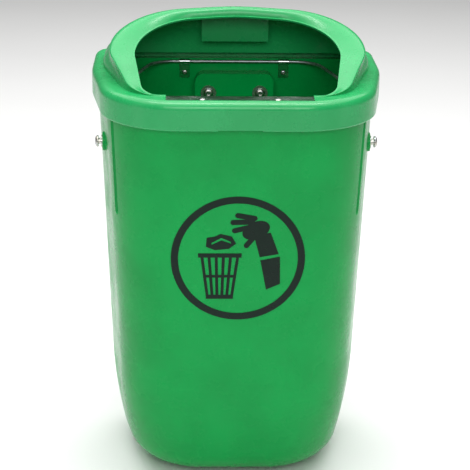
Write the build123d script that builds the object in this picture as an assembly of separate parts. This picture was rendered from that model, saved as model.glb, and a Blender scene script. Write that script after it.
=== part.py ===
from build123d import *
import math
import os

# Hooded litter bin that hangs on two side pins and a rear latch.
# Millimetres. Z up, front towards -Y, origin on the floor under the middle of the collar.

# ---- overall sizes
COLLAR_WIDTH = 430.0
COLLAR_DEPTH = 338.0
COLLAR_BOTTOM = 580.0
COLLAR_TOP = 621.0
CROWN_Z = 699.0

# ---- collar outline, right half, front to back
FRONT_NARROWING = 34.0
WIDEST_Y = 40.0
FRONT_ROUND = 118.0
SIDE_ROUND = 300.0
REAR_ROUND = 32.0
LEAST_ROUND = 3.0

# ---- tub
OVERHANG = 14.0
SIDE_OVERHANG = 8.5
TUB_REAR_ROUND = 46.0
TUB_WALL = 4.0
RIM_Z = 607.0
RIM_THICK = 5.0
SIDE_TAPER = 0.0375
FRONT_TAPER = 0.060
BACK_TAPER = 0.010
BELLY_Z = 170.0
BELLY_SIDE = 23.0
BELLY_FRONT = 30.0
BOTTOM_ROUND = 42.0
FOOT_HEIGHT = 6.0
FOOT_INSET = 4.0
DRAIN_DIAMETER = 10.0
DRAIN_X = 45.0
DRAIN_FRONT_Y = 0.0
DRAIN_REAR_Y = 70.0

# ---- upright grooves on the front corners
GROOVE_X = 178.0
GROOVE_Y = -93.0
GROOVE_ANGLE = 65.0
GROOVE_WIDTH = 9.0
GROOVE_DEPTH = 2.4
GROOVE_BOTTOM = 437.0

# ---- hood
HOOD_WALL = 4.0
SHOULDER_ROUND = 11.0
HEM_ROUND = 2.5
RIM_CLEARANCE = 1.0
SEAT_RIB_WIDTH = 12.0
SEAT_FRONT_Y = -40.0
SEAT_REAR_Y = 90.0
LIP_WIDTH = 2.5
CHANNEL_HALF = 47.0
CHANNEL_Y = 127.0
CHANNEL_BOTTOM = 644.0
PRY_SLOT_WIDTH = 62.0
PRY_SLOT_HEIGHT = 2.0

# ---- stubbing plate let into the front ledge
PLATE_WIDTH = 204.0
PLATE_DEPTH = 26.0
PLATE_THICK = 1.5
PLATE_RECESS = 2.5
PLATE_FRONT_Y = -155.0
PLATE_LIP = 7.0
PLATE_GAP = 0.4
PLATE_PAD = 4.0
PAD_SIDE = 6.0
PAD_FRONT = 4.0
PAD_REAR = 2.0
RIVET_X = 52.0
RIVET_SHANK = 5.0
RIVET_HEAD = 9.0
RIVET_HEAD_THICK = 1.6
RIVET_SETBACK = 7.0
RIVET_WASHER = 14.0
RIVET_WASHER_THICK = 1.2
RIVET_TAIL = 8.0
RIVET_TAIL_THICK = 2.0
RIVET_EDGE = 1.0

HOLE_GAP = 0.2  # between a fastener's diameter and its hole's

# ---- pivot pins
PIN_Y = -10.0
PIN_Z = 520.0
PIN_SHANK = 9.0
PIN_SHANK_LENGTH = 4.5
PIN_HEAD = 17.0
PIN_HEAD_THICK = 4.5
PIN_THREAD = 8.0
BOSS_DIAMETER = 28.0
BOSS_OUT = 2.5
BOSS_IN = 9.0
WASHER_DIAMETER = 18.0
WASHER_THICK = 2.0
NUT_ACROSS = 13.0
NUT_THICK = 8.0
THREAD_TAIL = 2.0
DOME_SHARE = 0.7  # how much of a domed head's height is round

# ---- rear latch
POCKET_HALF = 57.0
POCKET_BOTTOM = 440.0
POCKET_TOP = 584.0
POCKET_FLOOR_Y = 131.0
LATCH_BOLT_X = 40.0
LATCH_BOLT_Z = 558.0
LATCH_BOLT = 8.0
LATCH_BOLT_HEAD = 16.0
LATCH_BOLT_HEAD_THICK = 4.5
LATCH_WASHER_INSIDE = 24.0
LATCH_WASHER_OUTSIDE = 16.0
CASE_HALF_WIDTH = 53.0
CASE_BOTTOM = 462.0
CASE_TOP = 576.0
CASE_STEEL = 3.0
CASE_CORNER = 6.0
CHEEK_CORNER = 8.0
CHEEK_X = 24.0
CHEEK_DEPTH = 26.0
CATCH_BAR = 12.0
CATCH_BAR_GAP = 1.0
CATCH_BAR_SETBACK = 2.0
CATCH_BAR_Z = 482.0
SPINDLE = 10.0
SPINDLE_GAP = 0.08
SPINDLE_Z = 522.0
SPINDLE_SETBACK = 15.0
SPINDLE_FLANGE = 16.0
SPINDLE_FLANGE_THICK = 3.0
SPINDLE_KEY = 8.0
SPINDLE_KEY_LENGTH = 14.0
SPINDLE_TAIL = 5.0
SPINDLE_NECK = 8.0
CIRCLIP_DIAMETER = 15.0
CIRCLIP_THICK = 1.5
CIRCLIP_OPENING = 3.0
PAWL_THICK = 14.0
PAWL_HUB = 22.0
PAWL_ARM = 9.0
PAWL_TOE = 8.0
PAWL_TOE_REACH = 5.0
PAWL_SIDE_GAP = 0.5
CROSS_PIN = 3.0

# ---- bag hoop
HOOP_WIRE = 5.0
HOOP_DROP = 4.0
HOOP_BACK_GAP = 4.0
HOOP_HALF = [(148.0, -126.0), (172.0, -28.0), (125.0, None)]
HOOP_ROUNDS = (64.0, 90.0, 44.0)
CLIP_X = 77.0
CLIP_WIDTH = 16.0
CLIP_STEEL = 1.5
CLIP_TAIL = 22.0
CLIP_FOOT = 8.0
CLIP_PAD_HALF = 11.0
CLIP_PAD_PROUD = 0.8
CLIP_RIVET = 4.0
CLIP_RIVET_HEAD = 8.0
CLIP_RIVET_HEAD_THICK = 1.8

# ---- emblem printed on the front
EMBLEM_Z = 384.0
EMBLEM_OUTER = 192.0
EMBLEM_INNER = 171.0
PRINT_THICK = 0.4

BASKET_X = -26.0
BASKET_TOP = 5.6
BASKET_BASE = -59.5
BASKET_TOP_HALF = 27.9
BASKET_BASE_HALF = 19.5
BASKET_BAND = 6.5
BASKET_SLAT = 4.2
BASKET_SLATS = 6

PAPER_OUTLINE = ((-46, 19), (-33, 14), (-13, 16), (-3, 24), (-9, 35), (-25, 39), (-33, 35), (-45, 33))
PAPER_FOLD = ((-38, 22), (-24, 29), (-10, 24), (-11, 27), (-24, 33), (-38, 25))

SLEEVE_OUTLINE = ((41, -48), (61, -39), (60, 4), (32, -2))
FOREARM_OUTLINE = ((31, 3), (58, 8), (46, 41), (22, 37))
PALM_X = 25.1
PALM_Y = 44.6
PALM_TURN = 24.0
PALM_LENGTH = 40.9
PALM_WIDTH = 26.0
FINGER_WIDTH = 7.8
FINGERS = ((7, 47, 33, 14), (6, 57, 35, 2), (11, 65, 32, -10), (18, 29, 28, 52))

OUTSIDE = 60.0  # how far a cutting tool runs past what it cuts


# ================================================================ outlines

def whole(half):
    """Closed outline, anticlockwise, from its right half listed front to back."""
    return list(half) + [(-x, y) for x, y in reversed(half) if x > 0]


def whole_rounds(half, rounds):
    """Corner radii in the order of whole()."""
    return list(rounds) + [r for r, (x, _) in zip(reversed(rounds), reversed(half)) if x > 0]


def grown(points, by):
    """Every side of a closed anticlockwise outline moved outwards by a distance."""
    moved = []
    for i, (x, y) in enumerate(points):
        before = Vector(x, y) - Vector(*points[i - 1])
        after = Vector(*points[(i + 1) % len(points)]) - Vector(x, y)
        out_1 = Vector(before.Y, -before.X).normalized()
        out_2 = Vector(after.Y, -after.X).normalized()
        step = (out_1 + out_2) * (by / (1 + out_1.dot(out_2)))
        moved.append((x + step.X, y + step.Y))
    return moved


def outline_wire(half, rounds, grow=0.0):
    """Rounded closed outline as a wire in the XY plane."""
    radii = [max(r + grow, LEAST_ROUND) for r in whole_rounds(half, rounds)]
    return FilletPolyline(*grown(whole(half), grow), radius=radii, close=True)


def outline(half, rounds, grow=0.0):
    """Rounded closed outline as a face in the XY plane."""
    return make_face(outline_wire(half, rounds, grow))


def slab(face, bottom, top):
    """Upright prism of an XY face between two heights."""
    return extrude(Pos(0, 0, bottom) * face, amount=top - bottom)


def block(x0, x1, y0, y1, z0, z1):
    """Box between two corners."""
    middle = Pos((x0 + x1) / 2, (y0 + y1) / 2, (z0 + z1) / 2)
    return middle * Box(abs(x1 - x0), abs(y1 - y0), abs(z1 - z0))


def rod_x(x0, x1, y, z, diameter):
    """Round bar along X."""
    return Pos((x0 + x1) / 2, y, z) * Rot(0, 90, 0) * Cylinder(diameter / 2, abs(x1 - x0))


def rod_y(x, y0, y1, z, diameter):
    """Round bar along Y."""
    return Pos(x, (y0 + y1) / 2, z) * Rot(90, 0, 90) * Cylinder(diameter / 2, abs(y1 - y0))


def rod_z(x, y, z0, z1, diameter):
    """Round bar along Z."""
    return Pos(x, y, (z0 + z1) / 2) * Cylinder(diameter / 2, abs(z1 - z0))


def hex_nut(across, thick, bore):
    """Hexagon nut on the XY plane, with a plain bore."""
    side = RegularPolygon(across / math.sqrt(3), 6)
    return extrude(side - Circle(bore / 2), amount=thick)


# ================================================================ tub

HALF_WIDTH = COLLAR_WIDTH / 2
HALF_DEPTH = COLLAR_DEPTH / 2
COLLAR_HALF = [
    (HALF_WIDTH - FRONT_NARROWING, -HALF_DEPTH),
    (HALF_WIDTH, WIDEST_Y),
    (HALF_WIDTH, HALF_DEPTH),
]
COLLAR_ROUNDS = (FRONT_ROUND, SIDE_ROUND, REAR_ROUND)


def tub_half(z):
    """Right half of the tub's outline at a height: tapered, and drawn in at the belly."""
    drop = RIM_Z - z
    belly = max(0.0, (BELLY_Z - z) / BELLY_Z) ** 2
    side = SIDE_TAPER * drop + BELLY_SIDE * belly
    front = FRONT_TAPER * drop + BELLY_FRONT * belly
    back = BACK_TAPER * drop
    (front_x, front_y), (wide_x, wide_y), (rear_x, rear_y) = grown(whole(COLLAR_HALF), -OVERHANG)[:3]
    side -= OVERHANG - SIDE_OVERHANG
    return [(front_x - side, front_y + front), (wide_x - side, wide_y), (rear_x - side, rear_y - back)]


TUB_ROUNDS = (FRONT_ROUND - OVERHANG, SIDE_ROUND - OVERHANG, TUB_REAR_ROUND)


def bottom_levels(wall):
    """Heights and insets round the bottom edge, for the outside or for the cavity."""
    reach = BOTTOM_ROUND - wall
    turns = [math.radians(angle) for angle in (0, 18, 36, 54, 72, 90)]
    centre = FOOT_HEIGHT + BOTTOM_ROUND
    return [(centre - reach * math.cos(turn), BOTTOM_ROUND - reach * math.sin(turn)) for turn in turns]


def belly_levels(wall):
    """Heights of the belly between the bottom edge and the straight walls."""
    start = FOOT_HEIGHT + BOTTOM_ROUND
    return [(start + (BELLY_Z - start) * step / 4, wall) for step in range(5)]


def tub_loft(levels, ruled=False):
    """Solid through the tub's outlines at the given heights and insets."""
    faces = [Pos(0, 0, z) * outline(tub_half(z), TUB_ROUNDS, -inset) for z, inset in levels]
    return loft(faces, ruled=ruled)


def tub_form(wall, top_extra=0.0):
    """Solid of the tub's outside, or of its cavity."""
    straight = [(BELLY_Z, wall), (RIM_Z + top_extra, wall)]
    return tub_loft(bottom_levels(wall)) + tub_loft(belly_levels(wall)) + tub_loft(straight, ruled=True)


def wall_x(y, z):
    """Half width of the tub's outer wall on the straight stretch in front of its widest point."""
    (x0, y0), (x1, y1), _ = tub_half(z)
    return x0 + (x1 - x0) * (y - y0) / (y1 - y0)


def back_y(z):
    """Outer face of the tub's back wall at a height."""
    return tub_half(z)[2][1]


HOOP_Z = RIM_Z - HOOP_DROP
HOOP_BACK_Y = back_y(HOOP_Z) - TUB_WALL - HOOP_BACK_GAP
CLIP_RIVET_Z = RIM_Z - CLIP_TAIL
CLIP_BOTTOM = CLIP_RIVET_Z - CLIP_FOOT
CLIP_FACE_Y = back_y(CLIP_BOTTOM) - TUB_WALL - CLIP_PAD_PROUD
CLIP_PAD_OUT_Y = back_y(CLIP_RIVET_Z) + CLIP_PAD_PROUD


def rear_pocket(grow):
    """Pocket in the back wall that takes the latch, grown by a wall for the cavity side."""
    box = block(
        -POCKET_HALF - grow, POCKET_HALF + grow,
        POCKET_FLOOR_Y - grow, HALF_DEPTH + OUTSIDE,
        POCKET_BOTTOM - grow, POCKET_TOP + grow,
    )
    return fillet(box.edges().filter_by(Axis.Y), 10 + grow)


def groove(side):
    """Round-ended upright groove on one front corner, following the wall's taper."""
    ball = (GROOVE_WIDTH ** 2 / 4 + GROOVE_DEPTH ** 2) / (2 * GROOVE_DEPTH)
    turn = math.radians(GROOVE_ANGLE)
    out = ball - GROOVE_DEPTH

    def centre(z):
        drop = COLLAR_BOTTOM - z
        x = GROOVE_X + out * math.sin(turn) - SIDE_TAPER * drop
        y = GROOVE_Y - out * math.cos(turn) + FRONT_TAPER * drop
        return Vector(side * x, y, z)

    bottom = centre(GROOVE_BOTTOM)
    top = centre(RIM_Z - RIM_THICK - 2)
    run = top - bottom
    shaft = Plane(origin=bottom, z_dir=run) * Pos(0, 0, run.length / 2) * Cylinder(ball, run.length)
    return shaft + Pos(*bottom) * Sphere(ball)


def pin_face():
    """Outer face of the boss that a pivot pin stands on."""
    return wall_x(PIN_Y, PIN_Z) + BOSS_OUT


def pin_inner_face():
    """Inner face of the pivot pin's boss."""
    return wall_x(PIN_Y, PIN_Z) - BOSS_IN


def tub_holes():
    """Everything drilled or pressed into the tub: pin, bolt, rivet and drain holes and the grooves."""
    reach = OUTSIDE / 4
    cuts = []
    for side in (-1, 1):
        pin_reach = (side * (pin_inner_face() - reach), side * (pin_face() + reach))
        cuts.append(rod_x(*pin_reach, PIN_Y, PIN_Z, PIN_THREAD + HOLE_GAP))
        cuts.append(groove(side))
        cuts.append(rod_y(side * LATCH_BOLT_X, POCKET_FLOOR_Y - reach, POCKET_FLOOR_Y + 1, LATCH_BOLT_Z,
                          LATCH_BOLT + HOLE_GAP))
        cuts.append(rod_y(side * CLIP_X, CLIP_FACE_Y - reach, CLIP_PAD_OUT_Y + reach, CLIP_RIVET_Z,
                          CLIP_RIVET + HOLE_GAP))
        for y in (DRAIN_FRONT_Y, DRAIN_REAR_Y):
            cuts.append(rod_z(side * DRAIN_X, y, -1, FOOT_HEIGHT + 2 * TUB_WALL, DRAIN_DIAMETER))
    return cuts


def make_tub():
    rim = slab(outline(COLLAR_HALF, COLLAR_ROUNDS, -HOOD_WALL - RIM_CLEARANCE), RIM_Z - RIM_THICK, RIM_Z)
    foot_outline = outline(tub_half(FOOT_HEIGHT), TUB_ROUNDS, -BOTTOM_ROUND - FOOT_INSET)
    shell = tub_form(0.0) + rim + slab(foot_outline, 0, FOOT_HEIGHT + TUB_WALL / 2)
    shell -= tub_form(TUB_WALL, top_extra=OUTSIDE) - rear_pocket(TUB_WALL)
    shell -= rear_pocket(0.0)
    for side in (-1, 1):
        shell += rod_x(side * pin_inner_face(), side * pin_face(), PIN_Y, PIN_Z, BOSS_DIAMETER)
        shell += block(side * CLIP_X - CLIP_PAD_HALF, side * CLIP_X + CLIP_PAD_HALF, CLIP_FACE_Y, CLIP_PAD_OUT_Y,
                       CLIP_RIVET_Z - CLIP_PAD_HALF, CLIP_RIVET_Z + CLIP_PAD_HALF)
    return shell - tub_holes()


# ================================================================ hood

# Each cowl section: front edge (y, z), z of the rear edge, right half as (x, distance back), rounds.
COWL = [
    ((-136.0, 612.0), 612.0, [(152, 0), (194, 176), (194, 286), (0, 287)], (70, 200, 44, 400)),
    ((-135.0, 619.0), 652.0, [(151, 0), (193, 163), (188, 279), (0, 283)], (66, 180, 76, 400)),
    ((-134.0, 621.0), CROWN_Z - 17.0, [(149, 0), (187, 134), (178, 255), (0, 267)], (60, 130, 108, 400)),
    ((-132.0, 621.5), CROWN_Z, [(145, 0), (185, 114), (174, 227), (0, 247)], (52, 66, 116, 300)),
    ((-128.0, 619.0), CROWN_Z - 10.0, [(136, 0), (152, 116), (136, 206), (0, 224)], (34, 76, 102, 200)),
]


def cowl_plane(section, lower=0.0):
    """Sloping plane of one cowl section, from its front edge to its rear edge."""
    (front_y, front_z), rear_z, half, _ = section
    slope = math.asin((rear_z - front_z) / half[-1][1])
    tilt = Plane(origin=(0, front_y, front_z), x_dir=(1, 0, 0),
                 z_dir=(0, -math.sin(slope), math.cos(slope)))
    return tilt.offset(-lower)


def cowl_face(section, grow=0.0, lower=0.0):
    """Face of one cowl section, optionally drawn in and lowered for the cavity."""
    return cowl_plane(section, lower) * outline(section[2], section[3], grow)


def cowl_outside():
    return loft([cowl_face(section) for section in COWL])


def cowl_cavity():
    faces = [cowl_face(COWL[0], -HOOD_WALL, 4.0)]
    faces += [cowl_face(section, -HOOD_WALL, 1.0) for section in COWL[1:3]]
    faces.append(cowl_face(COWL[3], -HOOD_WALL - 3.0, HOOD_WALL + 2.5))
    return loft(faces)


def mouth_cut():
    """Prism of the mouth, square to the lip's plane."""
    lip = outline(COWL[-1][2], COWL[-1][3], -LIP_WIDTH)
    return extrude(cowl_plane(COWL[-1], 20.0) * lip, amount=40.0)


def mount_channel(grow):
    """Channel down the back of the hood that clears the post."""
    return block(-CHANNEL_HALF - grow, CHANNEL_HALF + grow, CHANNEL_Y - grow, HALF_DEPTH + OUTSIDE,
                 CHANNEL_BOTTOM - grow, CROWN_Z + OUTSIDE)


LEDGE_UNDER = COLLAR_TOP - HOOD_WALL
PLATE_SEAT = COLLAR_TOP - PLATE_RECESS
PLATE_BACK_Y = PLATE_FRONT_Y + PLATE_DEPTH


def seat_ribs(skirt):
    """Short ribs under the ledge that rest on the tub's rim, two on each side."""
    ribs = []
    for y in (SEAT_FRONT_Y, SEAT_REAR_Y):
        inner = wall_x(SEAT_FRONT_Y, RIM_Z) - TUB_WALL
        rib = block(inner, HALF_WIDTH, y - SEAT_RIB_WIDTH / 2, y + SEAT_RIB_WIDTH / 2, RIM_Z, COLLAR_TOP)
        rib = rib & skirt
        ribs += [rib, mirror(rib, about=Plane.YZ)]
    return ribs


def make_hood():
    collar = slab(outline(COLLAR_HALF, COLLAR_ROUNDS), COLLAR_BOTTOM, COLLAR_TOP)
    collar = fillet(collar.edges().group_by(Axis.Z)[-1], SHOULDER_ROUND)
    collar = fillet(collar.edges().group_by(Axis.Z)[0], HEM_ROUND)
    skirt = slab(outline(COLLAR_HALF, COLLAR_ROUNDS, -HOOD_WALL), COLLAR_BOTTOM - 1, LEDGE_UNDER)
    shell = collar + cowl_outside()
    shell -= skirt
    shell -= cowl_cavity() - mount_channel(HOOD_WALL)
    shell -= mount_channel(0.0)
    half = PLATE_WIDTH / 2
    pad = block(-half - PAD_SIDE, half + PAD_SIDE, PLATE_FRONT_Y - PAD_FRONT, PLATE_BACK_Y + PAD_REAR,
                PLATE_SEAT - PLATE_PAD, LEDGE_UNDER + 1)
    shell += pad
    shell -= mouth_cut()
    shell -= block(-half - PLATE_GAP, half + PLATE_GAP, PLATE_FRONT_Y - PLATE_GAP, PLATE_BACK_Y + OUTSIDE / 2,
                   PLATE_SEAT, COLLAR_TOP + 6)
    shell -= block(-half - PLATE_GAP, half + PLATE_GAP, PLATE_BACK_Y - PLATE_THICK - PLATE_GAP,
                   PLATE_BACK_Y + OUTSIDE / 2, PLATE_SEAT - PLATE_LIP - 6, COLLAR_TOP)
    for side in (-1, 1):
        shell -= rod_z(side * RIVET_X, PLATE_FRONT_Y + RIVET_SETBACK, PLATE_SEAT - 10, COLLAR_TOP + 1,
                       RIVET_SHANK + HOLE_GAP)
    shell += seat_ribs(skirt)
    slot = PRY_SLOT_WIDTH / 2
    shell -= block(-slot, slot, -HALF_DEPTH - 1, -HALF_DEPTH + HOOD_WALL + 1,
                   COLLAR_BOTTOM - 1, COLLAR_BOTTOM + PRY_SLOT_HEIGHT)
    return shell


# ================================================================ stubbing plate

def make_stubbing_plate():
    half = PLATE_WIDTH / 2
    flat = block(-half, half, PLATE_FRONT_Y, PLATE_BACK_Y, PLATE_SEAT, PLATE_SEAT + PLATE_THICK)
    lip = block(-half, half, PLATE_BACK_Y - PLATE_THICK, PLATE_BACK_Y, PLATE_SEAT - PLATE_LIP, PLATE_SEAT + 1)
    plate = flat + lip
    for side in (-1, 1):
        plate -= rod_z(side * RIVET_X, PLATE_FRONT_Y + RIVET_SETBACK, PLATE_SEAT - 1, COLLAR_TOP,
                       RIVET_SHANK + HOLE_GAP)
    return plate


def make_plate_rivets():
    under = PLATE_SEAT - PLATE_PAD
    y = PLATE_FRONT_Y + RIVET_SETBACK
    top = PLATE_SEAT + PLATE_THICK
    rivets = []
    for side in (-1, 1):
        x = side * RIVET_X
        head = rod_z(x, y, top, top + RIVET_HEAD_THICK, RIVET_HEAD)
        head = fillet(head.edges().group_by(Axis.Z)[-1], RIVET_EDGE)
        tail_top = under - RIVET_WASHER_THICK
        shank = rod_z(x, y, tail_top - RIVET_TAIL_THICK, top, RIVET_SHANK)
        tail = rod_z(x, y, tail_top - RIVET_TAIL_THICK, tail_top, RIVET_TAIL)
        rivets.append(head + shank + tail)
    return rivets


def make_plate_rivet_washers():
    under = PLATE_SEAT - PLATE_PAD
    y = PLATE_FRONT_Y + RIVET_SETBACK
    washers = []
    for side in (-1, 1):
        x = side * RIVET_X
        ring = rod_z(x, y, under - RIVET_WASHER_THICK, under, RIVET_WASHER)
        washers.append(ring - rod_z(x, y, under - 3, under + 1, RIVET_SHANK + HOLE_GAP))
    return washers


# ================================================================ pivot pins

def make_pivot_pin(side):
    seat = pin_face() + WASHER_THICK
    head_x = seat + PIN_SHANK_LENGTH
    tail = pin_inner_face() - WASHER_THICK - NUT_THICK - THREAD_TAIL
    shank = rod_x(side * seat, side * head_x, PIN_Y, PIN_Z, PIN_SHANK)
    head = rod_x(head_x, head_x + PIN_HEAD_THICK, PIN_Y, PIN_Z, PIN_HEAD)
    head = fillet(head.edges().group_by(Axis.X)[-1], PIN_HEAD_THICK * DOME_SHARE)
    if side < 0:
        head = mirror(head, about=Plane.YZ)
    stud = rod_x(side * tail, side * seat, PIN_Y, PIN_Z, PIN_THREAD)
    return shank + head + stud


def make_pin_washer(side, inner):
    start = pin_inner_face() - WASHER_THICK if inner else pin_face()
    diameter = BOSS_DIAMETER - 2 if inner else WASHER_DIAMETER
    ring = rod_x(side * start, side * (start + WASHER_THICK), PIN_Y, PIN_Z, diameter)
    return ring - rod_x(side * (start - 1), side * (start + WASHER_THICK + 1), PIN_Y, PIN_Z,
                        PIN_THREAD + HOLE_GAP)


def make_pin_nut(side):
    start = pin_inner_face() - WASHER_THICK
    nut = Rot(0, -90, 0) * hex_nut(NUT_ACROSS, NUT_THICK, PIN_THREAD + HOLE_GAP)
    nut = Pos(start, PIN_Y, PIN_Z) * nut
    return nut if side > 0 else mirror(nut, about=Plane.YZ)


# ================================================================ rear latch

SPINDLE_Y = POCKET_FLOOR_Y + SPINDLE_SETBACK
CATCH_SLOT = CATCH_BAR + CATCH_BAR_GAP
CATCH_SLOT_Y = POCKET_FLOOR_Y + CASE_STEEL + CATCH_SLOT / 2 + CATCH_BAR_SETBACK
CHEEK_OUT = CHEEK_X + CASE_STEEL / 2


def make_latch_case():
    plate = block(-CASE_HALF_WIDTH, CASE_HALF_WIDTH, POCKET_FLOOR_Y, POCKET_FLOOR_Y + CASE_STEEL,
                  CASE_BOTTOM, CASE_TOP)
    case = fillet(plate.edges().filter_by(Axis.Y), CASE_CORNER)
    for side in (-1, 1):
        x = side * CHEEK_X
        cheek = block(x - CASE_STEEL / 2, x + CASE_STEEL / 2, POCKET_FLOOR_Y + 1,
                      POCKET_FLOOR_Y + CHEEK_DEPTH, CASE_BOTTOM, CASE_TOP)
        rear = cheek.edges().filter_by(Axis.X).group_by(Axis.Y)[-1]
        case += fillet(rear, CHEEK_CORNER)
    slot = CATCH_SLOT
    slot_y = CATCH_SLOT_Y
    case -= rod_x(-OUTSIDE, OUTSIDE, slot_y, CATCH_BAR_Z, slot)
    case -= block(-OUTSIDE, OUTSIDE, slot_y, HALF_DEPTH, CATCH_BAR_Z - slot / 2, CATCH_BAR_Z + slot / 2)
    case -= rod_x(-OUTSIDE / 2, OUTSIDE / 2, SPINDLE_Y, SPINDLE_Z, SPINDLE + 2 * SPINDLE_GAP)
    for side in (-1, 1):
        case -= rod_y(side * LATCH_BOLT_X, POCKET_FLOOR_Y - 1, POCKET_FLOOR_Y + CASE_STEEL + 1,
                      LATCH_BOLT_Z, LATCH_BOLT + HOLE_GAP)
    return case


def make_latch_bolts():
    inside = POCKET_FLOOR_Y - TUB_WALL - WASHER_THICK
    outside = POCKET_FLOOR_Y + CASE_STEEL + WASHER_THICK + NUT_THICK
    bolts = []
    for side in (-1, 1):
        x = side * LATCH_BOLT_X
        head = rod_y(x, inside - LATCH_BOLT_HEAD_THICK, inside, LATCH_BOLT_Z, LATCH_BOLT_HEAD)
        head = fillet(head.edges().group_by(Axis.Y)[0], LATCH_BOLT_HEAD_THICK * DOME_SHARE)
        bolts.append(head + rod_y(x, inside, outside + THREAD_TAIL, LATCH_BOLT_Z, LATCH_BOLT))
    return bolts


def make_latch_washers():
    washers = []
    inside = POCKET_FLOOR_Y - TUB_WALL - WASHER_THICK
    outside = POCKET_FLOOR_Y + CASE_STEEL
    for side in (-1, 1):
        for start, diameter in ((inside, LATCH_WASHER_INSIDE), (outside, LATCH_WASHER_OUTSIDE)):
            x = side * LATCH_BOLT_X
            ring = rod_y(x, start, start + WASHER_THICK, LATCH_BOLT_Z, diameter)
            hole = rod_y(x, start - 1, start + WASHER_THICK + 1, LATCH_BOLT_Z, LATCH_BOLT + HOLE_GAP)
            washers.append(ring - hole)
    return washers


def make_latch_nuts():
    start = POCKET_FLOOR_Y + CASE_STEEL + WASHER_THICK
    nut = Rot(-90, 0, 0) * hex_nut(NUT_ACROSS, NUT_THICK, LATCH_BOLT + HOLE_GAP)
    return [Pos(side * LATCH_BOLT_X, start, LATCH_BOLT_Z) * nut for side in (-1, 1)]


def make_spindle():
    bar = rod_x(-CHEEK_OUT - SPINDLE_TAIL, CHEEK_OUT, SPINDLE_Y, SPINDLE_Z, SPINDLE)
    flange = rod_x(CHEEK_OUT + PAWL_SIDE_GAP, CHEEK_OUT + PAWL_SIDE_GAP + SPINDLE_FLANGE_THICK,
                   SPINDLE_Y, SPINDLE_Z, SPINDLE_FLANGE)
    neck = rod_x(CHEEK_OUT - 1, CHEEK_OUT + PAWL_SIDE_GAP + 1, SPINDLE_Y, SPINDLE_Z, SPINDLE)
    key = extrude(RegularPolygon(SPINDLE_KEY / math.sqrt(3), 3), amount=SPINDLE_KEY_LENGTH)
    key_x = CHEEK_OUT + PAWL_SIDE_GAP + SPINDLE_FLANGE_THICK - SPINDLE_GAP
    key = Pos(key_x, SPINDLE_Y, SPINDLE_Z) * Rot(0, 90, 0) * key
    groove_x = -CHEEK_OUT - PAWL_SIDE_GAP
    ring = rod_x(groove_x - CIRCLIP_THICK, groove_x, SPINDLE_Y, SPINDLE_Z, SPINDLE + 2)
    ring -= rod_x(groove_x - CIRCLIP_THICK - 1, groove_x + 1, SPINDLE_Y, SPINDLE_Z, SPINDLE_NECK)
    spindle = bar + neck + flange + key - ring
    return spindle - cross_hole()


def cross_hole():
    """Hole through the hub and the spindle for the cross pin."""
    reach = PAWL_HUB / 2 + 1
    return rod_y(0, SPINDLE_Y - reach, SPINDLE_Y + reach, SPINDLE_Z, CROSS_PIN)


def make_pawl():
    half = PAWL_THICK / 2
    hub = rod_x(-half, half, SPINDLE_Y, SPINDLE_Z, PAWL_HUB)
    arm_y = CATCH_SLOT_Y + CATCH_SLOT / 2
    toe_top = CATCH_BAR_Z - CATCH_SLOT / 2 - 1
    arm = block(-half, half, arm_y, arm_y + PAWL_ARM, toe_top, SPINDLE_Z)
    toe = block(-half, half, arm_y - PAWL_TOE_REACH, arm_y + PAWL_ARM, toe_top - PAWL_TOE, toe_top)
    pawl = hub + arm + toe
    pawl -= rod_x(-half - 1, half + 1, SPINDLE_Y, SPINDLE_Z, SPINDLE)
    return pawl - cross_hole()


def make_cross_pin():
    reach = PAWL_HUB / 2
    return rod_y(0, SPINDLE_Y - reach, SPINDLE_Y + reach, SPINDLE_Z, CROSS_PIN)


def make_circlip():
    x = -CHEEK_OUT - PAWL_SIDE_GAP
    ring = rod_x(x - CIRCLIP_THICK, x, SPINDLE_Y, SPINDLE_Z, CIRCLIP_DIAMETER)
    ring -= rod_x(x - CIRCLIP_THICK - 1, x + 1, SPINDLE_Y, SPINDLE_Z, SPINDLE_NECK)
    half = CIRCLIP_OPENING / 2
    return ring - block(x - CIRCLIP_THICK - 1, x + 1, SPINDLE_Y - half, SPINDLE_Y + half,
                        SPINDLE_Z - CIRCLIP_DIAMETER, SPINDLE_Z)


# ================================================================ bag hoop

def make_bag_hoop():
    half = [(x, HOOP_BACK_Y if y is None else y) for x, y in HOOP_HALF]
    path = Pos(0, 0, HOOP_Z) * outline_wire(half, HOOP_ROUNDS)
    start = Plane(origin=path @ 0, z_dir=path % 0)
    return sweep(start * Circle(HOOP_WIRE / 2), path=path)


def make_hoop_clips():
    clips = []
    for side in (-1, 1):
        x0 = side * CLIP_X - CLIP_WIDTH / 2
        x1 = side * CLIP_X + CLIP_WIDTH / 2
        hook = rod_x(x0, x1, HOOP_BACK_Y, HOOP_Z, HOOP_WIRE + 2 * CLIP_STEEL)
        strap = block(x0, x1, CLIP_FACE_Y - CLIP_STEEL, CLIP_FACE_Y, CLIP_BOTTOM, HOOP_Z)
        clip = hook + strap - rod_x(x0 - 1, x1 + 1, HOOP_BACK_Y, HOOP_Z, HOOP_WIRE)
        clip -= rod_y(side * CLIP_X, CLIP_FACE_Y - OUTSIDE, CLIP_FACE_Y + OUTSIDE, CLIP_RIVET_Z,
                      CLIP_RIVET + HOLE_GAP)
        clips.append(clip)
    return clips


def make_clip_rivets():
    inner = CLIP_FACE_Y - CLIP_STEEL
    outer = CLIP_PAD_OUT_Y
    rivets = []
    for side in (-1, 1):
        x = side * CLIP_X
        head = rod_y(x, inner - CLIP_RIVET_HEAD_THICK, inner, CLIP_RIVET_Z, CLIP_RIVET_HEAD)
        tail = rod_y(x, outer, outer + CLIP_RIVET_HEAD_THICK, CLIP_RIVET_Z, CLIP_RIVET_HEAD)
        rivets.append(head + tail + rod_y(x, inner, outer, CLIP_RIVET_Z, CLIP_RIVET))
    return rivets


# ================================================================ emblem

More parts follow.
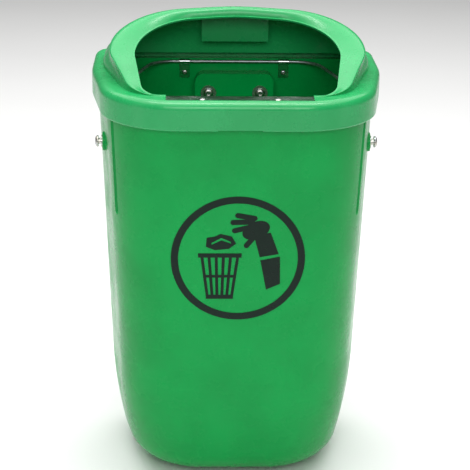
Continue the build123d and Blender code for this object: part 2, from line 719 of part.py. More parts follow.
def print_layer(low, high):
    """Thin layer on the outside of the walls between two heights."""
    return tub_loft([(low, -PRINT_THICK), (high, -PRINT_THICK)], ruled=True)


def front_print(shape):
    """Flat artwork in XZ, centred on the emblem, laid on the front wall as a thin print."""
    art = Plane(origin=(0, -HALF_DEPTH, EMBLEM_Z), x_dir=(1, 0, 0), z_dir=(0, -1, 0)) * shape
    return extrude(art, amount=-HALF_DEPTH)


def make_emblem(layer, outside, shapes):
    pieces = []
    for shape in shapes:
        piece = (front_print(shape) & layer) - outside
        pieces += piece.solids()
    return pieces


def ring_art():
    return [Circle(EMBLEM_OUTER / 2) - Circle(EMBLEM_INNER / 2)]


def bar_between(x0, y0, x1, y1, width):
    """Straight bar with square ends, leaning from one point to another."""
    half = width / 2
    return make_face(Polyline((x0 - half, y0), (x0 + half, y0), (x1 + half, y1), (x1 - half, y1), close=True))


def basket_art():
    """Slatted waste basket: rim band, base band, slats and one middle band."""
    basket = Pos(BASKET_X, BASKET_TOP) * Rectangle(2 * BASKET_TOP_HALF + BASKET_BAND, BASKET_BAND)
    basket += Pos(BASKET_X, BASKET_BASE) * Rectangle(2 * BASKET_BASE_HALF, BASKET_BAND)
    middle = (BASKET_TOP + BASKET_BASE) / 2
    basket += Pos(BASKET_X, middle) * Rectangle(BASKET_TOP_HALF + BASKET_BASE_HALF, BASKET_SLAT)
    inset = BASKET_SLAT / 2
    for step in range(BASKET_SLATS):
        share = 2 * step / (BASKET_SLATS - 1) - 1
        foot = BASKET_X + share * (BASKET_BASE_HALF - inset)
        head = BASKET_X + share * (BASKET_TOP_HALF - inset)
        basket += bar_between(foot, BASKET_BASE, head, BASKET_TOP, BASKET_SLAT)
    return [basket]


def paper_art():
    """Crumpled sheet falling towards the basket, with one fold left clear."""
    sheet = make_face(Polyline(*PAPER_OUTLINE, close=True))
    return [sheet - make_face(Polyline(*PAPER_FOLD, close=True))]


def rounded_bar(x, y, length, width, turn):
    """Bar with round ends, its middle at a point, turned by an angle in degrees."""
    return Pos(x, y) * Rot(0, 0, turn) * SlotOverall(length, width)


def hand_art():
    """Open hand on a sleeved forearm that reaches in from the right."""
    sleeve = make_face(Polyline(*SLEEVE_OUTLINE, close=True))
    hand = make_face(Polyline(*FOREARM_OUTLINE, close=True))
    hand += Pos(PALM_X, PALM_Y) * Rot(0, 0, PALM_TURN) * Ellipse(PALM_LENGTH / 2, PALM_WIDTH / 2)
    for x, y, length, turn in FINGERS:
        hand += rounded_bar(x, y, length, FINGER_WIDTH, turn)
    return [hand, sleeve]


# ================================================================ writing

def save(name, *solids):
    """Write one named piece, or a group of like pieces, as STEP."""
    shapes = [solid for shape in solids for solid in shape.solids()]
    piece = shapes[0] if len(shapes) == 1 else Compound(children=shapes)
    piece.label = name
    export_step(piece, f"parts/{name}.step")


def main():
    os.makedirs("parts", exist_ok=True)
    save("bin_body", make_tub())
    save("hood", make_hood())
    save("stubbing_plate", make_stubbing_plate())
    save("stubbing_plate_rivets", *make_plate_rivets())
    save("stubbing_plate_rivet_washers", *make_plate_rivet_washers())
    for name, side in (("left", -1), ("right", 1)):
        save(f"pivot_pin_{name}", make_pivot_pin(side))
        save(f"pivot_outer_washer_{name}", make_pin_washer(side, inner=False))
        save(f"pivot_inner_washer_{name}", make_pin_washer(side, inner=True))
        save(f"pivot_lock_nut_{name}", make_pin_nut(side))
    save("latch_case", make_latch_case())
    save("latch_case_bolts", *make_latch_bolts())
    save("latch_case_washers", *make_latch_washers())
    save("latch_case_nuts", *make_latch_nuts())
    save("latch_spindle", make_spindle())
    save("latch_pawl", make_pawl())
    save("latch_cross_pin", make_cross_pin())
    save("latch_retaining_ring", make_circlip())
    save("bag_hoop", make_bag_hoop())
    save("bag_hoop_clips", *make_hoop_clips())
    save("bag_hoop_clip_rivets", *make_clip_rivets())
    reach = EMBLEM_OUTER / 2 + 10
    layer = print_layer(EMBLEM_Z - reach, EMBLEM_Z + reach)
    outside = tub_form(0.0)
    save("emblem_ring", *make_emblem(layer, outside, ring_art()))
    save("emblem_basket", *make_emblem(layer, outside, basket_art()))
    save("emblem_paper", *make_emblem(layer, outside, paper_art()))
    save("emblem_hand", *make_emblem(layer, outside, hand_art()))


main()
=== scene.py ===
import math

import bmesh
import bpy
from mathutils import Matrix, Vector


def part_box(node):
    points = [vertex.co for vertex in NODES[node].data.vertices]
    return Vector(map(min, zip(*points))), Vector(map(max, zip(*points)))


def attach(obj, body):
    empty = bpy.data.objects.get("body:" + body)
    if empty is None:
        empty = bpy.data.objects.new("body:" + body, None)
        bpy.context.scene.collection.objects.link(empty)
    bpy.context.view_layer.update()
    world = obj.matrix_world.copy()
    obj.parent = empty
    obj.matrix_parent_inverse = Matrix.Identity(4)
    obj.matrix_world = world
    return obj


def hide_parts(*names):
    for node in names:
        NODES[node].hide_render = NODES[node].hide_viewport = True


bl_info = {
    "name": "Hooded litter bin",
    "version": (1, 0, 0),
    "blender": (4, 5, 0),
    "location": "View3D > Sidebar > Litter Bin",
    "description": "Finishes and fittings of a hooded litter bin that hangs on a tipping bracket",
    "category": "Object",
}

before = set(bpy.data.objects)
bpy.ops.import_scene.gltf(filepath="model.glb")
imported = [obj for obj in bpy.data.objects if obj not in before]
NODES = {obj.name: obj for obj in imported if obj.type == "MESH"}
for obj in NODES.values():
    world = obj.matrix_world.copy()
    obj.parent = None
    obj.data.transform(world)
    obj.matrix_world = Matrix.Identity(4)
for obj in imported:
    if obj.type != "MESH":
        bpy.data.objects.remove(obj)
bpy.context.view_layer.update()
MM = 0.001

TUB_INDEX = 1.28          # below the 1.53 of real HDPE, chosen to calm the highlights at grazing angles
HOOD_INDEX = 1.50
SPANGLE_SIZE = 0.005
EDGE = 0.4 * MM           # chamfer at the ends of pins and bolts
THREAD_DEPTH = 0.6        # of the pitch
SHARP_ANGLE = math.radians(32)
NUT_CORNER_LEAST = 7.0 * MM   # a half width over this is across a nut's corners, not across its flats
FLOOR_HALF = 6.0
RIGHT_SHARE = 0.6         # power of the right soft box as a share of the left one
SENSOR_WIDTH = 36.0       # millimetres
CLIP_END = 50.0


# ================================================================ helpers

def linear(hex_text, alpha=1.0):
    """Linear RGBA of an sRGB hex colour."""
    channels = []
    for start in (1, 3, 5):
        value = int(hex_text[start:start + 2], 16) / 255
        channels.append(value / 12.92 if value <= 0.04045 else ((value + 0.055) / 1.055) ** 2.4)
    return (*channels, alpha)


def add_node(tree, kind, inputs=None, **settings):
    """Add one node: settings are its properties, inputs are values or the sockets linked to them."""
    node = tree.nodes.new(kind)
    for name, value in settings.items():
        setattr(node, name, value)
    for key, value in (inputs or {}).items():
        socket = node.inputs[key]
        if isinstance(value, bpy.types.NodeSocket):
            tree.links.new(value, socket)
        else:
            socket.default_value = value
    return node


def new_material(name):
    """Empty material with a Principled shader, given with its tree, shader and Object coordinates."""
    material = bpy.data.materials.new(name)
    material.use_nodes = True
    tree = material.node_tree
    tree.nodes.clear()
    shader = add_node(tree, "ShaderNodeBsdfPrincipled")
    add_node(tree, "ShaderNodeOutputMaterial", {"Surface": shader.outputs["BSDF"]})
    place = add_node(tree, "ShaderNodeTexCoord").outputs["Object"]
    return material, tree, shader, place


def noise(tree, place, size, detail=3.0, roughness=0.5):
    """Noise whose blotches are about size metres across."""
    node = add_node(tree, "ShaderNodeTexNoise", {
        "Vector": place, "Scale": 1 / size, "Detail": detail, "Roughness": roughness,
    })
    return node.outputs["Fac"]


def ramp(tree, value, low, high, low_out=0.0, high_out=1.0):
    """Value from low to high mapped to low_out to high_out, held at the ends."""
    node = add_node(tree, "ShaderNodeMapRange", {
        "Value": value, "From Min": low, "From Max": high, "To Min": low_out, "To Max": high_out,
    }, interpolation_type="SMOOTHSTEP")
    return node.outputs["Result"]


def maths(tree, operation, first, second=0.0):
    """Result of one sum on two values."""
    return add_node(tree, "ShaderNodeMath", {0: first, 1: second}, operation=operation).outputs[0]


def mix_colour(tree, share, first, second):
    """First colour, with a share of the second."""
    node = add_node(tree, "ShaderNodeMix", {"Factor": share, "A": first, "B": second}, data_type="RGBA")
    return node.outputs["Result"]


def bump(tree, height, distance, strength, under=None):
    """Bump of a given depth in metres, over another bump when one is given."""
    inputs = {"Height": height, "Distance": distance, "Strength": strength}
    if under is not None:
        inputs["Normal"] = under
    return add_node(tree, "ShaderNodeBump", inputs).outputs["Normal"]


def link(shader, name, value):
    """Link a socket to one of the shader's inputs."""
    shader.id_data.links.new(value, shader.inputs[name])


# ================================================================ materials

def moulded_polyethylene(name, colour, shade, scuff, index):
    """Injection-moulded HDPE: a waxy semi-gloss with a fine spark-eroded grain, faint flow clouds in
    the colour and dull rubbed patches."""
    material, tree, shader, place = new_material(name)
    shader.inputs["IOR"].default_value = index
    clouds = noise(tree, place, size=0.09, detail=4.0)
    base = mix_colour(tree, ramp(tree, clouds, low=0.35, high=0.7), linear(colour), linear(shade))
    specks = noise(tree, place, size=0.004, detail=2.0, roughness=0.7)
    speck_share = ramp(tree, specks, low=0.66, high=0.8, high_out=0.10)
    link(shader, "Base Color", mix_colour(tree, speck_share, base, linear(scuff)))
    rubbed = noise(tree, place, size=0.05, detail=6.0, roughness=0.62)
    link(shader, "Roughness", ramp(tree, rubbed, low=0.35, high=0.75, low_out=0.22, high_out=0.36))
    peel = bump(tree, noise(tree, place, size=0.011, detail=2.0), distance=0.0004, strength=0.20)
    grain = noise(tree, place, size=0.0012, detail=2.0, roughness=0.6)
    link(shader, "Normal", bump(tree, grain, distance=0.0001, strength=0.30, under=peel))
    return material


def rolled_stainless(name):
    """Stainless sheet, cold rolled and lightly brushed along X: fine straight lines and soft mirror."""
    material, tree, shader, place = new_material(name)
    shader.inputs["Metallic"].default_value = 1.0
    stretched = add_node(tree, "ShaderNodeMapping", {"Vector": place, "Scale": (0.03, 1.0, 1.0)})
    lines = noise(tree, stretched.outputs["Vector"], size=0.0008, detail=3.0, roughness=0.6)
    base = mix_colour(tree, ramp(tree, lines, low=0.3, high=0.7), linear("#B9BCBE"), linear("#D9DBDC"))
    link(shader, "Base Color", base)
    brushed = ramp(tree, lines, low=0.3, high=0.7, low_out=0.10, high_out=0.18)
    smeared = ramp(tree, noise(tree, place, size=0.03, detail=4.0), low=0.4, high=0.7, high_out=0.10)
    link(shader, "Roughness", maths(tree, "ADD", brushed, smeared))
    link(shader, "Normal", bump(tree, lines, distance=0.00003, strength=0.3))
    return material


def zinc_plate(name):
    """Zinc-plated steel, bright passivated: cool grey with a faint straw bloom and fine tumbling marks."""
    material, tree, shader, place = new_material(name)
    shader.inputs["Metallic"].default_value = 1.0
    bloom = noise(tree, place, size=0.006, detail=4.0)
    base = mix_colour(tree, ramp(tree, bloom, low=0.35, high=0.7), linear("#AEB3B6"), linear("#C3BFB0"))
    link(shader, "Base Color", base)
    marks = noise(tree, place, size=0.0009, detail=3.0, roughness=0.7)
    link(shader, "Roughness", ramp(tree, marks, low=0.3, high=0.75, low_out=0.22, high_out=0.40))
    link(shader, "Normal", bump(tree, marks, distance=0.00005, strength=0.35))
    return material


def hot_dip_galvanised(name):
    """Hot-dip galvanised steel: flat grey spangle, each crystal with its own brightness."""
    material, tree, shader, place = new_material(name)
    shader.inputs["Metallic"].default_value = 1.0
    spangle = add_node(tree, "ShaderNodeTexVoronoi", {"Vector": place, "Scale": 1 / SPANGLE_SIZE})
    tone = add_node(tree, "ShaderNodeSeparateColor", {"Color": spangle.outputs["Color"]}).outputs["Red"]
    base = mix_colour(tree, tone, linear("#8F9598"), linear("#B4B9BB"))
    link(shader, "Base Color", base)
    link(shader, "Roughness", ramp(tree, tone, low=0.0, high=1.0, low_out=0.34, high_out=0.52))
    runs = noise(tree, place, size=0.004, detail=4.0)
    link(shader, "Normal", bump(tree, runs, distance=0.0002, strength=0.3))
    return material


def stamped_foil(name):
    """Hot-stamped pigment foil: one smooth near-black green film with pinholes where the grain shows."""
    material, tree, shader, place = new_material(name)
    shader.inputs["IOR"].default_value = 1.5
    shader.inputs["Specular IOR Level"].default_value = 0.2
    pinholes = noise(tree, place, size=0.0016, detail=2.0, roughness=0.7)
    pinhole_share = ramp(tree, pinholes, low=0.68, high=0.78, high_out=0.5)
    link(shader, "Base Color", mix_colour(tree, pinhole_share, linear("#001A10"), linear("#0A4A2C")))
    wear = noise(tree, place, size=0.03, detail=4.0)
    link(shader, "Roughness", ramp(tree, wear, low=0.3, high=0.75, low_out=0.26, high_out=0.40))
    grain = noise(tree, place, size=0.0012, detail=2.0)
    link(shader, "Normal", bump(tree, grain, distance=0.00008, strength=0.3))
    return material


def studio_board(name, colour):
    """Matt painted board, rolled: barely visible stipple, no gloss."""
    material, tree, shader, place = new_material(name)
    shader.inputs["Roughness"].default_value = 0.9
    shader.inputs["Specular IOR Level"].default_value = 0.1
    patches = noise(tree, place, size=0.6, detail=2.0)
    link(shader, "Base Color", mix_colour(tree, patches, linear(colour), linear("#F7F7F6")))
    return material


MATERIALS = {}


def material(slot):
    """Material of one of the record's slots, made once."""
    makers = {
        "tub_plastic": lambda: moulded_polyethylene(
            "HDPE_moulded_tub_green", "#009A46", "#009141", "#1FA85E", TUB_INDEX),
        # The hood gets a lighter green than the tub, though both are one HDPE: painted light, standing in
        # for the overhead light that falls on the hood.
        "hood_plastic": lambda: moulded_polyethylene(
            "HDPE_moulded_hood_green_painted_lighter", "#1F9F58", "#1A9852", "#50B07C", HOOD_INDEX),
        "stainless": lambda: rolled_stainless("Stainless_304_rolled"),
        "zinc_steel": lambda: zinc_plate("Steel_zinc_plated"),
        "galvanised_steel": lambda: hot_dip_galvanised("Steel_hot_dip_galvanised"),
        "print_ink": lambda: stamped_foil("Foil_hot_stamped_dark"),
    }
    if slot not in MATERIALS:
        MATERIALS[slot] = makers[slot]()
    return MATERIALS[slot]


def finish_nodes(*names):
    """Give CAD nodes the real finish in place of their plain slot colour."""
    for name in names:
        piece = NODES[name]
        for holder in piece.material_slots:
            holder.material = material(holder.material.name)


# ================================================================ turned pieces

def plain(*points):
    """Profile points of round rings, from (radius, height) pairs."""
    return [(radius, height, False) for radius, height in points]


def hexagonal(*points):
    """Profile points of six-sided rings, from (half width across the flats, height) pairs."""
    return [(radius, height, True) for radius, height in points]


def turned(name, profile, closed=False, segments=48):
    """Mesh of a turned piece from the points that plain() and hexagonal() give, from the top down.
    An open profile starts and ends on the axis; a closed one goes round a bore."""
    mesh = bpy.data.meshes.new(name)
    shape = bmesh.new()
    rings = []
    for radius, height, six_sided in profile:
        if radius == 0.0:
            rings.append([shape.verts.new((0, 0, height))])
            continue
        ring = []
        for step in range(segments):
            angle = 2 * math.pi * step / segments
            reach = radius
            if six_sided:
                reach = radius / math.cos((angle + math.pi / 6) % (math.pi / 3) - math.pi / 6)
            ring.append(shape.verts.new((reach * math.cos(angle), reach * math.sin(angle), height)))
        rings.append(ring)
    pairs = list(zip(rings, rings[1:]))
    if closed:
        pairs.append((rings[-1], rings[0]))
    for upper, lower in pairs:
        for step in range(segments):
            after = (step + 1) % segments
            corners = [upper[step % len(upper)], lower[step % len(lower)],
                       lower[after % len(lower)], upper[after % len(upper)]]
            shape.faces.new(list(dict.fromkeys(corners)))
    bmesh.ops.recalc_face_normals(shape, faces=shape.faces)
    shape.to_mesh(mesh)
    shape.free()
    mesh.shade_smooth()
    mesh.set_sharp_from_angle(angle=SHARP_ANGLE)
    return bpy.data.objects.new(name, mesh)


def dome(inner, outer, height, steps=7):
    """Profile of a domed head from its flat top to its rim, a quarter of an ellipse."""
    angles = [math.pi / 2 * step / steps for step in range(steps + 1)]
    return plain(*[(inner + (outer - inner) * math.sin(angle), height * (math.cos(angle) - 1))
                   for angle in angles])


def threaded_stud(stud, start, length, pitch):
    """Profile of a threaded stud, from where it starts down to its chamfered end."""
    groove = stud - THREAD_DEPTH * pitch
    points = []
    for turn in range(int((length - start) / pitch) - 1):
        top = -start - pitch * (turn + 0.25)
        points += plain((stud, top), (groove, top - pitch / 2))
    return points + plain((stud, -length + EDGE), (stud - EDGE, -length), (0.0, -length))


def blind_rivet(name, radius, length, setting):
    """Blind rivet standing on its tail, its head's top at zero, with the broken mandrel in its hole."""
    head = setting.rivet_head
    bore = radius * 0.30
    body = radius * 0.55
    swell = radius * 0.86
    swell_top = -length + head * 1.1
    swell_edge = 0.5 * MM
    mandrel = bore * 0.8
    mandrel_middle = -head * 0.45
    mandrel_edge = -head * 0.5
    lip = 0.15 * MM
    profile = plain((0.0, mandrel_middle), (mandrel, mandrel_edge), (bore, mandrel_edge), (bore, -lip))
    profile += dome(bore + lip, radius, head)
    profile += plain((body, -head), (body, swell_top), (swell, swell_top), (swell, -length + swell_edge),
                     (swell - swell_edge, -length), (0.0, -length))
    return turned(name, profile)


def headed_pin(name, radius, reach, length, setting):
    """Turned pin: domed head with a round dimple, plain bearing shank down to reach, then the stud."""
    head = setting.pin_head
    shank = setting.pin_shank / 2
    stud = setting.pin_stud / 2
    dimple_depth = 0.8 * MM
    dimple_floor = radius * 0.22
    dimple_rim = radius * 0.30
    crown = radius * 0.36
    crown_height = head * 0.75
    profile = plain((0.0, -dimple_depth), (dimple_floor, -dimple_depth), (dimple_rim, 0.0))
    profile += dome(crown, radius, crown_height)
    profile += plain((radius, -head + EDGE), (radius - EDGE, -head), (shank, -head), (shank, -reach),
                     (stud, -reach))
    return turned(name, profile + threaded_stud(stud, reach, length, setting.thread_pitch))


def button_bolt(name, radius, length, setting):
    """Button-head bolt with a hexagon socket, its head's top at zero."""
    head = setting.bolt_head
    stud = setting.pin_stud / 2
    socket = setting.socket_across / 2
    socket_middle = -head * 0.62
    socket_floor = -head * 0.55
    socket_top = -0.2 * MM
    crown = socket * 1.22
    profile = plain((0.0, socket_middle)) + hexagonal((socket, socket_floor), (socket, socket_top))
    profile += dome(crown, radius, head)
    profile += plain((stud, -head))
    return turned(name, profile + threaded_stud(stud, head, length, setting.thread_pitch))


def lock_nut(name, half_width, thick, setting):
    """Nylon-insert lock nut on its flat face at zero, rising away from it."""
    across_corners = half_width > NUT_CORNER_LEAST
    flat = half_width * math.cos(math.pi / 6) if across_corners else half_width
    bore = setting.pin_stud / 2 + 0.1 * MM
    seat = flat * 0.94
    seat_edge = 0.5 * MM
    body = thick * 0.72
    body_edge = 0.6 * MM
    shoulder = flat * 0.93
    collar = flat * 0.84
    collar_edge = 0.8 * MM
    insert_edge = 0.7 * MM
    profile = plain((bore, 0.0), (seat, 0.0))
    profile += hexagonal((flat, seat_edge), (flat, body - body_edge))
    profile += plain((shoulder, body), (collar, body), (collar, thick - collar_edge),
                     (collar - collar_edge, thick), (bore + insert_edge, thick), (bore, thick - insert_edge))
    return turned(name, profile, closed=True)


# ================================================================ repeating with Geometry Nodes

def repeat_tree():
    """Tree that sets copies of one piece out in a straight row, each turned the same way."""
    tree = bpy.data.node_groups.new("Row_of_fixings", "GeometryNodeTree")
    sockets = (
        ("Piece", "NodeSocketObject"), ("Count", "NodeSocketInt"), ("First", "NodeSocketVector"),
        ("Step", "NodeSocketVector"), ("Turn", "NodeSocketRotation"), ("Finish", "NodeSocketMaterial"),
    )
    for name, kind in sockets:
        tree.interface.new_socket(name=name, in_out="INPUT", socket_type=kind)
    tree.interface.new_socket(name="Geometry", in_out="OUTPUT", socket_type="NodeSocketGeometry")
    given = add_node(tree, "NodeGroupInput").outputs
    row = add_node(tree, "GeometryNodeMeshLine", {
        "Count": given["Count"], "Start Location": given["First"], "Offset": given["Step"],
    })
    piece = add_node(tree, "GeometryNodeObjectInfo", {"Object": given["Piece"]})
    copies = add_node(tree, "GeometryNodeInstanceOnPoints", {
        "Points": row.outputs["Mesh"], "Instance": piece.outputs["Geometry"], "Rotation": given["Turn"],
    })
    solid = add_node(tree, "GeometryNodeRealizeInstances", {"Geometry": copies.outputs["Instances"]})
    finished = add_node(tree, "GeometryNodeSetMaterial", {
        "Geometry": solid.outputs["Geometry"], "Material": given["Finish"],
    })
    add_node(tree, "NodeGroupOutput", {"Geometry": finished.outputs["Geometry"]})
    return tree


def plain_mesh(name, tree, values):
    """Object whose mesh is what the tree makes from the given input values."""
    carrier = bpy.data.objects.new(name + "_carrier", bpy.data.meshes.new(name + "_carrier"))
    bpy.context.scene.collection.objects.link(carrier)
    modifier = carrier.modifiers.new("tree", "NODES")
    modifier.node_group = tree
    for item in tree.interface.items_tree:
        if item.in_out == "INPUT" and item.name in values:
            modifier[item.identifier] = values[item.name]
    bpy.context.view_layer.update()
    mesh = bpy.data.meshes.new_from_object(carrier.evaluated_get(bpy.context.evaluated_depsgraph_get()))
    bpy.data.objects.remove(carrier)
    mesh.name = name
    piece = bpy.data.objects.new(name, mesh)
    bpy.context.scene.collection.objects.link(piece)
    return piece


def repeated(name, piece, count, first, step, turn, slot):
    """Row of like pieces as one mesh; the single piece is removed."""
    tree = bpy.data.node_groups.get("Row_of_fixings") or repeat_tree()
    row = plain_mesh(name, tree, {
        "Piece": piece, "Count": count, "First": tuple(first), "Step": tuple(step),
        "Turn": tuple(turn), "Finish": material(slot),
    })
    bpy.data.objects.remove(piece)
    return row


def settle(piece, body, slot, *nodes):
    """Tie a finished piece to its body and hide the CAD nodes that it stands for. The slot is not used."""
    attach(piece, body)
    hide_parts(*nodes)


# ================================================================ settings

class LitterBinFixings(bpy.types.PropertyGroup):
    rivet_head: bpy.props.FloatProperty(
        name="Rivet head", description="Height of a blind rivet's head", default=1.6 * MM, unit="LENGTH")
    pin_head: bpy.props.FloatProperty(
        name="Pin head", description="Height of a pivot pin's head", default=4.5 * MM, unit="LENGTH")
    pin_shank: bpy.props.FloatProperty(
        name="Pin shank", description="Diameter of a pivot pin's shank", default=9.0 * MM, unit="LENGTH")
    pin_stud: bpy.props.FloatProperty(
        name="Stud", description="Diameter of the threaded studs", default=8.0 * MM, unit="LENGTH")
    bolt_head: bpy.props.FloatProperty(
        name="Bolt head", description="Height of a latch bolt's head", default=4.5 * MM, unit="LENGTH")
    socket_across: bpy.props.FloatProperty(
        name="Socket", description="Width across the flats of a bolt's socket",
        default=5.0 * MM, unit="LENGTH")
    thread_pitch: bpy.props.FloatProperty(
        name="Thread pitch", description="Distance between two threads", default=1.25 * MM, unit="LENGTH")


class LitterBinStage(bpy.types.PropertyGroup):
    camera_distance: bpy.props.FloatProperty(
        name="Camera distance", description="From the camera to the point it looks at",
        default=2.300, min=0.5, unit="LENGTH")
    camera_height: bpy.props.FloatProperty(
        name="Camera tilt", description="Angle that the camera looks down at",
        default=math.radians(20.0), subtype="ANGLE")
    camera_side: bpy.props.FloatProperty(
        name="Camera turn", description="Angle from straight in front, towards the right",
        default=math.radians(-1.9), subtype="ANGLE")
    camera_roll: bpy.props.FloatProperty(
        name="Camera roll", description="Turn of the camera about its own line of sight",
        default=math.radians(0.75), subtype="ANGLE")
    lens: bpy.props.FloatProperty(name="Lens", description="Focal length in millimetres", default=116.0)
    aim_height: bpy.props.FloatProperty(
        name="Aim height", description="Height of the point that the camera looks at",
        default=0.369, unit="LENGTH")
    key_power: bpy.props.FloatProperty(
        name="Key light", description="Power of the overhead soft box", default=160.0)
    side_power: bpy.props.FloatProperty(
        name="Side light", description="Power of the left tall soft box", default=1.5)
    strip_power: bpy.props.FloatProperty(
        name="Strip light", description="Power of the strip overhead", default=18.0)
    front_power: bpy.props.FloatProperty(
        name="Front light", description="Power of the high front box", default=38.0)
    sky: bpy.props.FloatProperty(
        name="Room light", description="Strength of the even white room", default=0.16)


# ================================================================ operators

class LITTERBIN_OT_tub(bpy.types.Operator):
    """Moulded tub with its print"""
    bl_idname = "litterbin.tub"
    bl_label = "Tub and print"

    def execute(self, context):
        finish_nodes("bin_body", "emblem_ring", "emblem_basket", "emblem_paper", "emblem_hand")
        return {"FINISHED"}


class LITTERBIN_OT_hood(bpy.types.Operator):
    """Moulded hood and its steel stubbing plate"""
    bl_idname = "litterbin.hood"
    bl_label = "Hood and stubbing plate"

    def execute(self, context):
        finish_nodes("hood", "stubbing_plate", "stubbing_plate_rivet_washers")
        return {"FINISHED"}


class LITTERBIN_OT_rivets(bpy.types.Operator):
    """Blind rivets of the stubbing plate and of the bag hoop's clips"""
    bl_idname = "litterbin.rivets"
    bl_label = "Blind rivets"

    def execute(self, context):
        setting = context.scene.litterbin_fixings
        low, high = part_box("stubbing_plate_rivets")
        radius = (high.y - low.y) / 2
        rivet = blind_rivet("rivet_up", radius, high.z - low.z, setting)
        first = Vector((low.x + radius, (low.y + high.y) / 2, high.z))
        row = repeated("plate_rivets", rivet, 2, first, (high.x - low.x - 2 * radius, 0, 0),
                       (0, 0, 0), "zinc_steel")
        settle(row, "hood", "zinc_steel", "stubbing_plate_rivets")
        low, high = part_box("bag_hoop_clip_rivets")
        radius = (high.z - low.z) / 2
        rivet = blind_rivet("rivet_inwards", radius, high.y - low.y, setting)
        first = Vector((low.x + radius, low.y, (low.z + high.z) / 2))
        row = repeated("clip_rivets", rivet, 2, first, (high.x - low.x - 2 * radius, 0, 0),
                       (math.pi / 2, 0, 0), "zinc_steel")
        settle(row, "bin", "zinc_steel", "bag_hoop_clip_rivets")
        return {"FINISHED"}


class LITTERBIN_OT_pins(bpy.types.Operator):
    """Headed pivot pins with their washers and lock nuts"""
    bl_idname = "litterbin.pins"
    bl_label = "Pivot pins"

    def execute(self, context):
        setting = context.scene.litterbin_fixings
        for name, side in (("left", -1), ("right", 1)):
            low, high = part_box(f"pivot_pin_{name}")
            centre = (low + high) / 2
            outer = high.x if side > 0 else low.x
            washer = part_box(f"pivot_outer_washer_{name}")
            seat = washer[1].x if side > 0 else washer[0].x
            pin = headed_pin("pin", (high.z - low.z) / 2, abs(outer - seat), high.x - low.x, setting)
            turn = (0, side * math.pi / 2, 0)
            place = Vector((outer, centre.y, centre.z))
            row = repeated(f"headed_pin_{name}", pin, 1, place, (0, 0, 0), turn, "zinc_steel")
            settle(row, "bin", "zinc_steel", f"pivot_pin_{name}")
            low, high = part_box(f"pivot_lock_nut_{name}")
            nut = lock_nut("nut", (high.y - low.y) / 2, high.x - low.x, setting)
            start = high.x if side > 0 else low.x
            turn = (0, -side * math.pi / 2, 0)
            place = Vector((start, centre.y, centre.z))
            row = repeated(f"pin_lock_nut_{name}", nut, 1, place, (0, 0, 0), turn, "zinc_steel")
            settle(row, "bin", "zinc_steel", f"pivot_lock_nut_{name}")
            finish_nodes(f"pivot_outer_washer_{name}", f"pivot_inner_washer_{name}")
        return {"FINISHED"}


class LITTERBIN_OT_latch(bpy.types.Operator):
    """Rear latch with its button-head bolts and lock nuts"""
    bl_idname = "litterbin.latch"
    bl_label = "Rear latch"

    def execute(self, context):
        setting = context.scene.litterbin_fixings
        finish_nodes("latch_case", "latch_case_washers", "latch_spindle", "latch_pawl", "latch_cross_pin",
                     "latch_retaining_ring")
        low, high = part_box("latch_case_bolts")
        radius = (high.z - low.z) / 2
        middle = (low.z + high.z) / 2
        bolt = button_bolt("bolt", radius, high.y - low.y, setting)
        step = (high.x - low.x - 2 * radius, 0, 0)
        row = repeated("latch_bolts", bolt, 2, Vector((low.x + radius, low.y, middle)), step,
                       (math.pi / 2, 0, 0), "zinc_steel")
        settle(row, "bin", "zinc_steel", "latch_case_bolts")
        low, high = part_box("latch_case_nuts")
        nut = lock_nut("nut", (high.z - low.z) / 2, high.y - low.y, setting)
        row = repeated("latch_nuts", nut, 2, Vector((-step[0] / 2, low.y, middle)), step,
                       (-math.pi / 2, 0, 0), "zinc_steel")
        settle(row, "bin", "zinc_steel", "latch_case_nuts")
        return {"FINISHED"}


class LITTERBIN_OT_hoop(bpy.types.Operator):
    """Wire hoop that holds the bag, and its clips"""
    bl_idname = "litterbin.hoop"
    bl_label = "Bag hoop"

    def execute(self, context):
        finish_nodes("bag_hoop", "bag_hoop_clips")
        return {"FINISHED"}


def soft_box(name, place, aim, size, power):
    """Rectangular light at a place, turned to face its aim."""
    light = bpy.data.lights.new(name, "AREA")
    light.shape = "RECTANGLE"
    light.size, light.size_y = size
    light.energy = power
    lamp = bpy.data.objects.new(name, light)
    lamp.location = place
    lamp.rotation_euler = (Vector(aim) - Vector(place)).to_track_quat("-Z", "Y").to_euler()
    bpy.context.scene.collection.objects.link(lamp)


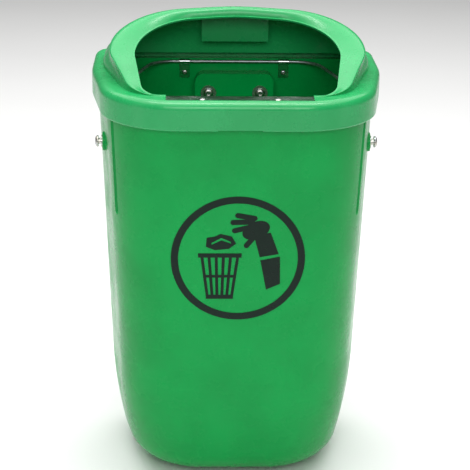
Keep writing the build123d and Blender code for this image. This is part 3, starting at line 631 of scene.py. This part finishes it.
class LITTERBIN_OT_stage(bpy.types.Operator):
    """Pale floor, soft boxes and the camera"""
    bl_idname = "litterbin.stage"
    bl_label = "Stage"

    def execute(self, context):
        scene = context.scene
        setting = scene.litterbin_stage
        mesh = bpy.data.meshes.new("floor")
        corners = [(x * FLOOR_HALF, y * FLOOR_HALF, 0) for x, y in ((-1, -1), (1, -1), (1, 1), (-1, 1))]
        mesh.from_pydata(corners, [], [(0, 1, 2, 3)])
        floor = bpy.data.objects.new("floor", mesh)
        floor.data.materials.append(studio_board("Board_painted_white", "#F2F2F1"))
        scene.collection.objects.link(floor)
        world = bpy.data.worlds.new("Studio")
        world.use_nodes = True
        room = world.node_tree.nodes["Background"]
        room.inputs["Color"].default_value = (1, 1, 1, 1)
        room.inputs["Strength"].default_value = setting.sky
        scene.world = world
        soft_box("key", place=(0.0, 0.5, 3.0), aim=(0, 0, 0), size=(5.0, 5.0), power=setting.key_power)
        soft_box("strip", place=(0.0, -0.1, 2.2), aim=(0, 0, 0.6), size=(1.6, 0.3),
                 power=setting.strip_power)
        soft_box("front", place=(0.0, -2.8, 1.9), aim=(0, 0, 0.3), size=(2.4, 1.2),
                 power=setting.front_power)
        soft_box("left", place=(-1.6, -0.9, 0.9), aim=(0, 0, 0.4), size=(0.5, 1.8),
                 power=setting.side_power)
        soft_box("right", place=(1.7, -0.7, 0.9), aim=(0, 0, 0.4), size=(0.5, 1.8),
                 power=setting.side_power * RIGHT_SHARE)
        self.camera(scene, setting)
        return {"FINISHED"}

    def camera(self, scene, setting):
        """Camera at its distance, tilt and turn from the point it looks at."""
        lens = bpy.data.cameras.new("camera")
        lens.lens = setting.lens
        lens.sensor_width = SENSOR_WIDTH
        lens.clip_end = CLIP_END
        camera = bpy.data.objects.new("camera", lens)
        flat = setting.camera_distance * math.cos(setting.camera_height)
        aim = Vector((0, 0, setting.aim_height))
        offset = Vector((flat * math.sin(setting.camera_side), -flat * math.cos(setting.camera_side),
                         setting.camera_distance * math.sin(setting.camera_height)))
        turn = (-offset).to_track_quat("-Z", "Y").to_matrix().to_4x4()
        roll = Matrix.Rotation(setting.camera_roll, 4, "Z")
        camera.matrix_world = Matrix.Translation(aim + offset) @ turn @ roll
        scene.collection.objects.link(camera)
        scene.camera = camera
        scene.view_settings.view_transform = "Standard"


class LITTERBIN_PT_panel(bpy.types.Panel):
    bl_label = "Litter bin"
    bl_idname = "LITTERBIN_PT_panel"
    bl_space_type = "VIEW_3D"
    bl_region_type = "UI"
    bl_category = "Litter Bin"

    def draw(self, context):
        for operator in OPERATORS:
            self.layout.operator(operator.bl_idname)


OPERATORS = (
    LITTERBIN_OT_tub, LITTERBIN_OT_hood, LITTERBIN_OT_rivets, LITTERBIN_OT_pins, LITTERBIN_OT_latch,
    LITTERBIN_OT_hoop, LITTERBIN_OT_stage,
)
CLASSES = (LitterBinFixings, LitterBinStage, *OPERATORS, LITTERBIN_PT_panel)


def register():
    for cls in CLASSES:
        bpy.utils.register_class(cls)
    bpy.types.Scene.litterbin_fixings = bpy.props.PointerProperty(type=LitterBinFixings)
    bpy.types.Scene.litterbin_stage = bpy.props.PointerProperty(type=LitterBinStage)


def unregister():
    del bpy.types.Scene.litterbin_stage
    del bpy.types.Scene.litterbin_fixings
    for cls in reversed(CLASSES):
        bpy.utils.unregister_class(cls)


def main():
    register()
    for operator in OPERATORS:
        group, name = operator.bl_idname.split(".")
        getattr(getattr(bpy.ops, group), name)()


if __name__ == "__main__":
    main()
